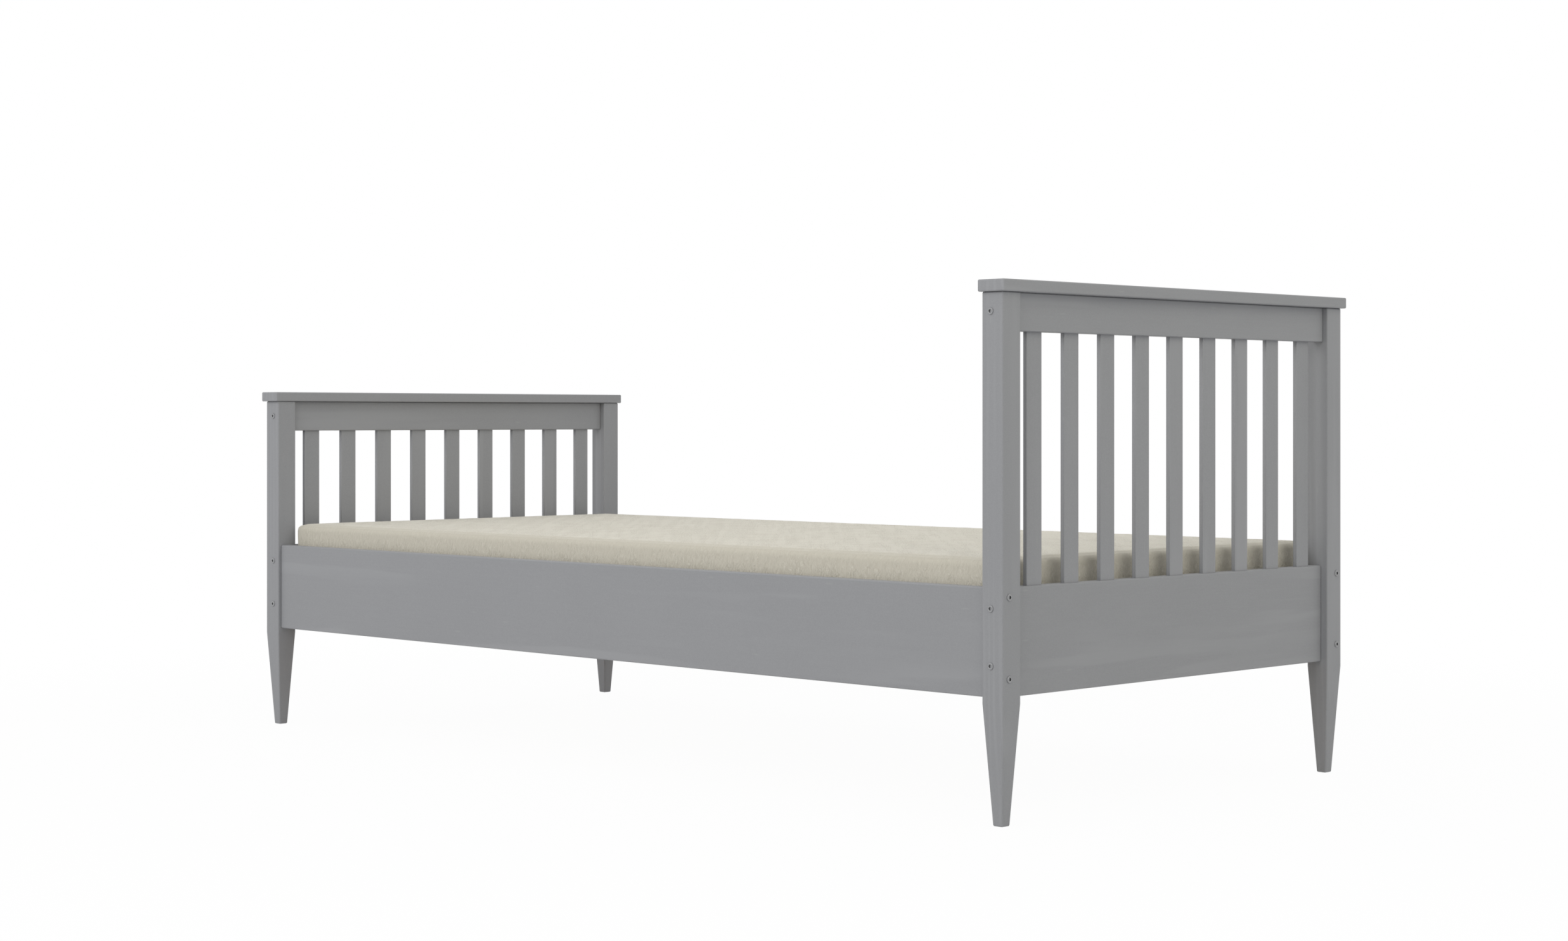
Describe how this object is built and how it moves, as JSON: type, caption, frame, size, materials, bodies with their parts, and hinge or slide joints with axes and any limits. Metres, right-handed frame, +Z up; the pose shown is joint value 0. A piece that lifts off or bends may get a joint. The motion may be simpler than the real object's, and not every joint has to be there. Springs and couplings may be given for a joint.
{
  "type": "single wooden bed",
  "caption": "Single bed with a painted wooden frame, slatted head and foot panels under flat caps, tapered legs, bolted side rails, a slatted base and a plush mattress.",
  "frame": {"origin": "on the floor, at the centre of the bed's outline", "axes": "+X to the right seen from the foot end, +Y from the foot to the head, +Z up"},
  "size_m": [0.996, 2.116, 0.8925],
  "materials": {
    "painted_wood": "grey satin paint on pine, grain faintly showing",
    "bare_wood": "bare planed pine",
    "bolt_steel": "zinc plated, satin",
    "mattress_cover": "cream plush pile"
  },
  "bodies": {
    "frame": {"base_slat_01": "bare_wood", "base_slat_02": "bare_wood", "base_slat_03": "bare_wood", "base_slat_04": "bare_wood", "base_slat_05": "bare_wood", "base_slat_06": "bare_wood", "base_slat_07": "bare_wood", "base_slat_08": "bare_wood", "base_slat_09": "bare_wood", "base_slat_10": "bare_wood", "base_slat_11": "bare_wood", "base_slat_12": "bare_wood", "base_slat_13": "bare_wood", "base_slat_14": "bare_wood", "cap_splines": "bare_wood", "end_rail_bolts": "bolt_steel", "foot_bottom_rail": "painted_wood", "foot_cap": "painted_wood", "foot_post_left": "painted_wood", "foot_post_right": "painted_wood", "foot_slat_1": "painted_wood", "foot_slat_2": "painted_wood", "foot_slat_3": "painted_wood", "foot_slat_4": "painted_wood", "foot_slat_5": "painted_wood", "foot_slat_6": "painted_wood", "foot_slat_7": "painted_wood", "foot_slat_8": "painted_wood", "foot_slat_9": "painted_wood", "foot_top_rail": "painted_wood", "head_bottom_rail": "painted_wood", "head_cap": "painted_wood", "head_post_left": "painted_wood", "head_post_right": "painted_wood", "head_slat_1": "painted_wood", "head_slat_2": "painted_wood", "head_slat_3": "painted_wood", "head_slat_4": "painted_wood", "head_slat_5": "painted_wood", "head_slat_6": "painted_wood", "head_slat_7": "painted_wood", "head_slat_8": "painted_wood", "head_slat_9": "painted_wood", "head_top_rail": "painted_wood", "side_rail_bolts": "bolt_steel", "side_rail_left": "painted_wood", "side_rail_right": "painted_wood", "slat_ledger_left": "bare_wood", "slat_ledger_right": "bare_wood"},
    "mattress": {"mattress": "mattress_cover"}
  },
  "joints": [
    {"name": "mattress_lift", "type": "slide", "parent": "frame", "child": "mattress", "axis": [0, 0, 1], "range_m": [0, 0.18]}
  ]
}
